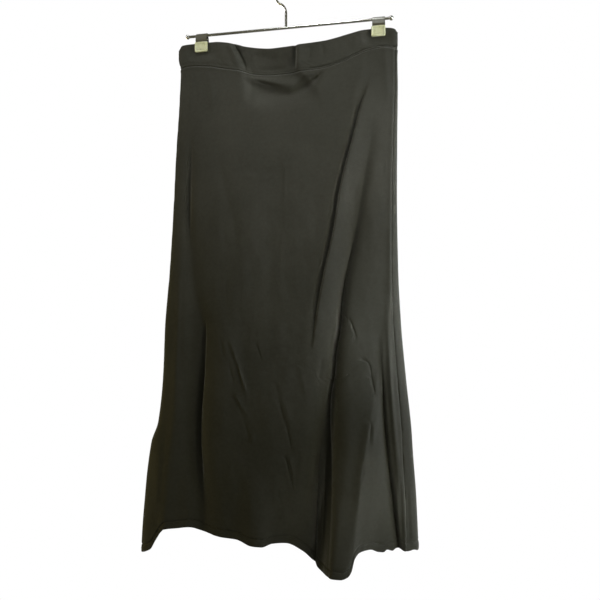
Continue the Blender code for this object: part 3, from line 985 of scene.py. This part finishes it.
def jersey_material():
    """Fine cotton jersey: columns of small V stitches, a soft nap, and an uneven washed tone."""
    wale, course = 0.0011, 0.0009
    shader = Shader("jersey_knit", roughness=0.88)
    flat = shader.add("ShaderNodeUVMap", {"uv_map": "flat"}).outputs["UV"]
    split = shader.add("ShaderNodeSeparateXYZ", Vector=flat)
    across = shader.math("DIVIDE", split.outputs["X"], wale)
    zigzag = shader.math("ABSOLUTE", shader.math("SUBTRACT", shader.math("FRACT", across), 0.5))
    down = shader.math("DIVIDE", split.outputs["Y"], course)
    phase = shader.math("MULTIPLY", shader.math("ADD", down, zigzag), 2 * math.pi)
    stitch = shader.math("MULTIPLY_ADD", shader.math("SINE", phase), 0.3, 0.5)
    knit = shader.math("SUBTRACT", stitch, shader.math("MULTIPLY", zigzag, 0.7))
    nap = shader.noise(900, 4)
    pilled = shader.noise(170, 5, 0.6)
    washed = shader.noise(7, 6, 0.62)
    tone = shader.math("MULTIPLY_ADD", washed, 0.65, shader.math("MULTIPLY", pilled, 0.35))
    normal = shader.bump(knit, 0.00022, 0.55)
    normal = shader.bump(nap, 0.0002, 0.5, normal)
    normal = shader.bump(pilled, 0.0008, 0.3, normal)
    shader.set(Base_Color=shader.between(tone, JERSEY_DARK, JERSEY_LIGHT, 0.36, 0.64), Normal=normal)
    shader.set(Sheen_Weight=0.22, Sheen_Roughness=0.42, Sheen_Tint=(0.85, 0.86, 0.8, 1))
    shader.set(Specular_IOR_Level=0.25)
    return shader.material


def thread_material():
    """Matt thread, darker than the jersey: its dark colour is partly the thread's own and partly
    painted shade of the hem grooves that it lies in.
    """
    shader = Shader("thread", roughness=0.75)
    twist = shader.noise(1500, 2)
    # The thread's darkness includes painted shade of the hem grooves.
    shader.set(Base_Color=shader.between(twist, THREAD_AND_GROOVE_SHADE, scaled(THREAD_AND_GROOVE_SHADE, 1.5)))
    shader.set(Normal=shader.bump(twist, 0.0001), Sheen_Weight=0.15)
    return shader.material


def steel_material():
    """Bright plated wire with faint handling marks."""
    shader = Shader("plated_steel", metallic=1.0)
    worn = shader.noise(60, 6, 0.7)
    fine = shader.noise(700, 3)
    shader.set(Base_Color=shader.between(worn, STEEL, scaled(STEEL, 0.8)))
    shader.set(Roughness=shader.math("MULTIPLY_ADD", worn, 0.16, 0.12))
    shader.set(Normal=shader.bump(fine, 0.00004, 0.4))
    return shader.material


def vinyl_material():
    """Soft translucent vinyl, greenish where it is deeper."""
    shader = Shader("vinyl", roughness=0.34)
    cloudy = shader.noise(150, 4, 0.6)
    shader.set(
        Base_Color=shader.between(cloudy, VINYL_DEEP, VINYL, 0.22, 0.5),
        Normal=shader.bump(cloudy, 0.0004, 0.35),
        Subsurface_Weight=0.25,
        Subsurface_Radius=(1.0, 1.0, 0.5),
        Subsurface_Scale=0.002,
    )
    return shader.material


def floor_material():
    """A plain grey floor with a very slight grain."""
    shader = Shader("floor", roughness=0.8)
    grain = shader.noise(30)
    shader.set(Base_Color=shader.between(grain, scaled(FLOOR, 0.96), FLOOR))
    return shader.material


# ---------------- the skirt
def row_places():
    """How far down a panel each row lies, from 0 to 1, closer together at its two edges."""
    edge = np.arange(0, EDGE_DEPTH, EDGE_STEP)
    middle_count = round((PANEL_LENGTH - 2 * EDGE_DEPTH) / ROW_STEP)
    middle = np.linspace(EDGE_DEPTH, PANEL_LENGTH - EDGE_DEPTH, middle_count + 1)
    return np.concatenate([edge, middle, PANEL_LENGTH - edge[::-1]]) / PANEL_LENGTH


def seam_dip(distance, depth):
    """How the cloth stands near a seam: its edge rolls in, and then there is a low ridge."""
    return 0.35 * bell(distance - 4, 2.2) - depth * bell(distance, 1.2)


def hem_shape(from_edge, along):
    """How the turned-up hem stands: two stitched grooves, a fuller edge, and small puckers."""
    lower_line = HEM_DEPTH - STITCH_SPACING
    grooves = 1.5 * bell(from_edge - HEM_DEPTH, 1.8) + 0.8 * bell(from_edge - lower_line, 1.2)
    fuller = 0.5 * ease((HEM_DEPTH - from_edge) / 4)
    return fuller - grooves + bell(from_edge - 8, 11) * layered(HEM_PUCKERS, along, from_edge)


def make_panels(cloth, thread):
    """The front and back panels, each from its side seam to the other, with their hems."""
    rows = []
    for place in row_places():
        line, distance, right_fold = measured(loop(place, (WAIST_SEAM,) * 2, (FRONT_HEM, BACK_HEM)))
        seam = right_fold - SEAM_ROLL_WAIST - (SEAM_ROLL_HEM - SEAM_ROLL_WAIST) * place
        front = spaced(line, 0, seam, FRONT_COLUMNS)
        back = spaced(line, seam, distance[-1], BACK_COLUMNS)
        rows.append((front, back))
    for side, name in ((0, "front"), (1, "back")):
        grid = np.stack([row[side] for row in rows])
        # A point inside the skirt, well behind the front panel or well before the back one.
        centre = np.array([0, 15.0 * (1 - 2 * side), 0]) + grid.mean(axis=(0, 1)) * (0, 0, 1)
        normal = outwards(grid, centre, wraps=False)
        flat = flat_coordinates(grid) / MM
        from_waist = -flat[:, :, 1]
        from_hem = from_waist[-1] - from_waist
        from_sides = np.minimum(flat[:, :, 0] - flat[:, :1, 0], flat[:, -1:, 0] - flat[:, :, 0])
        puckers = layered(SIDE_PUCKERS, from_sides, grid[:, :, 2]) * bell(from_sides, PUCKER_REACH)
        raised = seam_dip(from_sides, SIDE_SEAM_DEPTH) + puckers
        raised += seam_dip(from_waist, WAIST_SEAM_DEPTH) + hem_shape(from_hem, flat[:, :, 0])
        thick = CLOTH + (HEM_CLOTH - CLOTH) * ease((HEM_DEPTH + 1 - from_hem) / 2)
        outer = grid + normal * raised[:, :, None]
        add_panel(name, outer, outer - normal * thick[:, :, None], cloth)
        lines = []
        for up in (HEM_DEPTH, HEM_DEPTH - STITCH_SPACING):
            row = int(np.argmin(np.abs(from_hem[:, grid.shape[1] // 2] - up)))
            lines.append((outer[row, 2:-2], normal[row, 2:-2]))
        add_stitches(f"{name}_hem_stitches", lines, thread)


def add_panel(name, outer, inner, cloth):
    """One panel's shell in place of its CAD solid."""
    piece = add_wall(f"{name}_cloth", outer, inner, cloth)
    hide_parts(f"{name}_panel")


def make_band(cloth):
    """The waistband: doubled jersey over elastic, rolled at its top and drawn in at its seam."""
    rows = []
    upper, lower = (BAND_TOP,) * 2, (WAIST_SEAM,) * 2
    # Its rows lie closer together at its two edges.
    even = np.linspace(0, 1, BAND_ROWS + 1)
    for place in even - 0.35 * np.sin(2 * math.pi * even) / (2 * math.pi):
        line, distance, _ = measured(loop(place, upper, lower))
        rows.append(spaced(line, 0, distance[-1], BAND_COLUMNS)[:-1])
    grid = np.stack(rows)
    normal = outwards(grid, grid.mean(axis=(0, 1)), wraps=True)
    normal[[0, -1], :, 2] = 0
    normal /= np.linalg.norm(normal, axis=2, keepdims=True)
    flat = flat_coordinates(grid) / MM
    from_top = -flat[:, :, 1]
    from_seam = from_top[-1] - from_top
    free = 1 - pinch(grid[:, :, 0], grid[:, :, 2])
    gathers = layered(BAND_GATHERS, flat[:, :, 0], from_top)
    raised = gathers * np.minimum(1, from_top / 4) * free
    # The stitched groove above the seam is deepest on the right of the front.
    groove = 0.9 + 2.2 * ease((grid[:, :, 0] - 30) / 40) * (grid[:, :, 1] < 0)
    groove *= 1 + 0.35 * uneven(flat[:, :, 0], from_seam, 7, 9, 12)
    raised += seam_dip(from_seam, WAIST_SEAM_DEPTH) - groove * bell(from_seam - 4.5, 2.4)
    rolled = TOP_ROLL * bell(from_top, 1.0)
    raised -= rolled * free
    outer = grid + normal * raised[:, :, None]
    thick = BAND_CLOTH - rolled
    piece = add_wall("waistband_cloth", outer, outer - normal * thick[:, :, None], cloth, wraps=True)
    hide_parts("waistband")


# ---------------- the hanger
WIRE_SIDES = 28
BACKWARDS = np.array([0.0, 1.0, 0.0])
BALL_RADIUS = 0.85
BALL_SEAT = 0.6


def arc(centre, radius, start, end, count):
    """Points of an arc in the plane of the hook, between two angles in degrees."""
    angles = np.radians(np.linspace(start, end, count))
    x, z = centre[0] + radius * np.cos(angles), centre[1] + radius * np.sin(angles)
    return np.stack([x, np.zeros(count), z], axis=1)


def swept(path, radii, sides, out):
    """A tube's points and faces along a path, with closed ends. out is square to its plane."""
    ahead = np.gradient(path, axis=0)
    ahead /= np.linalg.norm(ahead, axis=1, keepdims=True)
    across = np.cross(ahead, out)
    ring = np.linspace(0, 2 * math.pi, sides, endpoint=False)
    spread = np.cos(ring)[None, :, None] * across[:, None] + np.sin(ring)[None, :, None] * out
    points = (path[:, None] + np.asarray(radii)[:, None, None] * spread).reshape(-1, 3)
    return points, tube_faces(len(path), sides)


def make_hook(steel):
    """The hook's wire: its crown, its bend back to the middle, its stem and its round free end."""
    radius = HOOK_INSIDE_RADIUS + WIRE / 2
    leave = 240  # the angle at which the crown ends and the bend starts
    crown = arc((0, -HOOK_INSIDE_RADIUS), radius, -12, leave, 90)
    bend = -crown[-1][0] / (1 - math.cos(math.radians(leave - 180)))
    drop = bend * math.sin(math.radians(leave - 180))
    neck = arc((-bend, crown[-1][2] - drop), bend, 60, 0, 26)
    stem = np.linspace(neck[-1], (0, 0, BAR_Z + BAR_WIRE / 2 + SEAT_GAP), 12)
    path = np.concatenate([crown, neck[1:], stem[1:]])
    tip_step = crown[0] - crown[1]
    tip_step /= np.linalg.norm(tip_step)
    # The rings of the free end shrink towards its tip, where the path starts.
    turn = np.linspace(0, 1, 8)[:0:-1] * math.pi / 2 * 0.98
    tip = crown[0] + tip_step * (WIRE / 2 * np.sin(turn))[:, None]
    radii = np.concatenate([WIRE / 2 * np.cos(turn), np.full(len(path), WIRE / 2)])
    points, faces = swept(np.concatenate([tip, path]), radii, WIRE_SIDES, BACKWARDS)
    piece = add_mesh("hook_wire", points, faces, steel, sharp_angle=40)
    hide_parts("hook")


def make_bar(steel):
    """The bar, and the ball on each of its ends."""
    path = np.array([(x, 0, BAR_Z) for x in np.linspace(-BAR_HALF, BAR_HALF, 60)], float)
    points, faces = swept(path, np.full(len(path), BAR_WIRE / 2), WIRE_SIDES, BACKWARDS)
    piece = add_mesh("bar_wire", points, faces, steel, sharp_angle=40)
    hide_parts("bar")
    ball = BAR_WIRE * BALL_RADIUS
    turn = np.linspace(math.acos(-BALL_SEAT / BALL_RADIUS), 0.02, 22)
    for side, name in ((-1, "bar_ball_left"), (1, "bar_ball_right")):
        middle = side * (BAR_HALF + SEAT_GAP + BAR_WIRE * BALL_SEAT)
        path = np.array([(middle + side * ball * math.cos(t), 0, BAR_Z) for t in turn])
        points, faces = swept(path, ball * np.sin(turn), WIRE_SIDES, BACKWARDS)
        piece = add_mesh(f"{name}_round", points, faces, steel, sharp_angle=50)
        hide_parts(name)


def rounded_rectangle(half_x, half_z, corner, count=7):
    """Points round a rectangle with round corners, in the XZ plane."""
    points = []
    for quarter, (sx, sz) in enumerate(((1, 1), (-1, 1), (-1, -1), (1, -1))):
        for turn in np.linspace(0, math.pi / 2, count):
            a = quarter * math.pi / 2 + turn
            x = sx * (half_x - corner) + corner * math.cos(a)
            points.append((x, sz * (half_z - corner) + corner * math.sin(a)))
    return np.array(points)


def make_tips(vinyl):
    """The vinyl tips: a rounded pad with a raised rim, a dished middle and a fine bar across."""
    for end, x in CLIP_PLACES.items():
        for side, face in ((-1, "front"), (1, "back")):
            node = f"tip_{end}_{face}"
            low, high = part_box(node)
            near, far = sorted((abs(low[1]) / MM, abs(high[1]) / MM))
            middle_z = (low[2] + high[2]) / 2 / MM
            half_x, half_z = (high[0] - low[0]) / 2 / MM, (high[2] - low[2]) / 2 / MM
            depth = far - near
            # How far each ring is set in, how far out it stands, and its corners' radius.
            profile = [
                (0.5, 0.0, 2.2),
                (0.0, 0.5, 2.6),
                (0.0, depth - 0.9, 2.6),
                (0.25, depth - 0.3, 2.5),
                (0.9, depth, 2.1),
                (2.0, depth, 1.5),
                (2.6, depth - 0.25, 1.2),
                (3.1, depth - 0.75, 1.0),
                (3.6, depth - TIP_WELL, 0.9),
            ]
            rings = []
            for inset, out, corner in profile:
                ring = rounded_rectangle(half_x - inset, half_z - inset, corner)
                y = np.full(len(ring), side * (near + out))
                rings.append(np.stack([ring[:, 0] + x, y, ring[:, 1] + middle_z], axis=1))
            faces = tube_faces(len(rings), len(rings[0]))
            pad = add_mesh(f"{node}_pad", np.concatenate(rings), faces, vinyl, sharp_angle=50)
            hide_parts(node)
            bar_place = (x, side * (near + depth - TIP_WELL), middle_z - half_z * 0.42)
            add_tip_bar(node, bar_place, half_x - 4.6, side, vinyl)


def add_tip_bar(node, place, half_length, side, vinyl):
    """The fine moulded bar low in a tip's dish, tapered at its ends."""
    x, y, z = place
    along = np.linspace(-1, 1, 24)
    path = np.array([(x + t * half_length, y, z) for t in along])
    taper = np.sqrt(np.maximum(0.02, 1 - along**8))
    points, faces = swept(path, 0.75 * taper, 12, np.array([0.0, float(side), 0.0]))
    add_mesh(f"{node}_bar", points, faces, vinyl, sharp_angle=60)


def finish_clips(steel):
    """The clips' strips keep their CAD shape and get the hanger's plating."""
    for node in ("clip_left", "clip_right"):
        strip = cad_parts[node]
        strip.data.materials.clear()
        strip.data.materials.append(steel)


# ---------------- the studio, in metres
CAMERA_AZIMUTH = 13.6
CAMERA_DISTANCE = 1.35
CAMERA_Z = -0.614
LENS = 43.8
CAMERA_SHIFT = (0.0233, 0.0233)
FLOOR_BELOW_HEM = 0.45
FLOOR_RADIUS = 0.9


def add_area(name, place, aim, size, power, colour, spread=180):
    """A soft square light that shines at a point, in a beam of the stated width in degrees."""
    light = bpy.data.lights.new(name, "AREA")
    light.size = size
    light.energy = power
    light.color = colour
    light.spread = math.radians(spread)
    lamp = bpy.data.objects.new(name, light)
    lamp.location = place
    lamp.rotation_euler = (Vector(aim) - Vector(place)).to_track_quat("-Z", "Y").to_euler()
    bpy.context.scene.collection.objects.link(lamp)


def make_camera():
    """The camera stands to the right of the skirt's front, a little below its middle."""
    turn = math.radians(CAMERA_AZIMUTH)
    data = bpy.data.cameras.new("camera")
    data.lens = LENS
    data.shift_x, data.shift_y = CAMERA_SHIFT
    camera = bpy.data.objects.new("camera", data)
    camera.location = (CAMERA_DISTANCE * math.sin(turn), -CAMERA_DISTANCE * math.cos(turn), CAMERA_Z)
    camera.rotation_euler = (math.pi / 2, 0, turn)
    bpy.context.scene.collection.objects.link(camera)
    bpy.context.scene.camera = camera


def make_world():
    """White behind the skirt, and a dim warm light from all round."""
    world = bpy.data.worlds.new("studio")
    world.use_nodes = True
    bpy.context.scene.world = world
    tree = world.node_tree
    lit = tree.nodes["Background"]
    lit.inputs["Color"].default_value = (1.0, 0.93, 0.6, 1)
    lit.inputs["Strength"].default_value = 0.11
    seen = tree.nodes.new("ShaderNodeBackground")
    seen.inputs["Color"].default_value = (1, 1, 1, 1)
    path = tree.nodes.new("ShaderNodeLightPath")
    mix = tree.nodes.new("ShaderNodeMixShader")
    tree.links.new(path.outputs["Is Camera Ray"], mix.inputs[0])
    tree.links.new(lit.outputs[0], mix.inputs[1])
    tree.links.new(seen.outputs[0], mix.inputs[2])
    tree.links.new(mix.outputs[0], tree.nodes["World Output"].inputs["Surface"])


def make_studio():
    """Floor, lights, camera and world."""
    lowest = cad_bounds[0][2]
    work = bmesh.new()
    bmesh.ops.create_circle(work, cap_ends=True, segments=96, radius=FLOOR_RADIUS)
    mesh = bpy.data.meshes.new("floor")
    work.to_mesh(mesh)
    work.free()
    mesh.materials.append(floor_material())
    floor = bpy.data.objects.new("floor", mesh)
    floor.location = (0, 0, lowest - FLOOR_BELOW_HEM)
    bpy.context.scene.collection.objects.link(floor)
    add_area("high", (-0.12, -0.6, 0.9), (-0.04, 0, -0.1), 0.22, 0.4, (0.97, 1.0, 0.98), 40)
    add_area("upper", (0.7, -0.95, 0.1), (0.04, 0, -0.22), 0.25, 0.14, (0.88, 0.94, 1.0), 45)
    add_area("middle", (1.05, -0.6, -0.15), (0.12, 0, -0.36), 0.2, 0.45, (1.0, 0.97, 0.98), 40)
    add_area("strip", (1.0, -0.7, -0.3), (0.185, 0, -0.66), 0.12, 0.085, (0.92, 0.96, 1.0), 15)
    add_area("lower", (0.95, -0.85, -0.9), (0.14, 0, -0.96), 0.1, 0.05, (0.95, 0.96, 0.92), 14)
    add_area("right", (1.1, -0.4, -0.4), (0.2, 0, -0.45), 0.4, 5.2, (1.0, 0.98, 0.66))
    add_area("right_edge", (1.1, -0.12, -0.35), (0.2, 0, -0.4), 0.4, 10.5, (0.71, 0.78, 1.0))
    add_area("left_hem", (-1.1, -0.12, -0.75), (-0.2, 0, -0.75), 0.4, 2.6, (1.0, 0.8, 0.26))
    add_area("left_band", (-1.0, -0.5, 0.1), (-0.2, 0, -0.13), 0.3, 0.2, (1.0, 0.96, 0.96), 36)
    add_area("back_key", (-1.0, 1.1, 0.1), (0, 0, -0.4), 0.6, 22, (1.0, 0.99, 0.97))
    add_area("back_fill", (1.5, 1.2, -0.6), (0, 0, -0.6), 1.2, 7, (0.98, 0.99, 1.0))
    make_camera()
    make_world()
    bpy.context.scene.view_settings.view_transform = "Standard"


def main():
    """Dress the frame's nodes and light them."""
    cloth, thread = jersey_material(), thread_material()
    steel, vinyl = steel_material(), vinyl_material()
    make_panels(cloth, thread)
    make_band(cloth)
    make_hook(steel)
    make_bar(steel)
    make_tips(vinyl)
    finish_clips(steel)
    make_studio()


main()
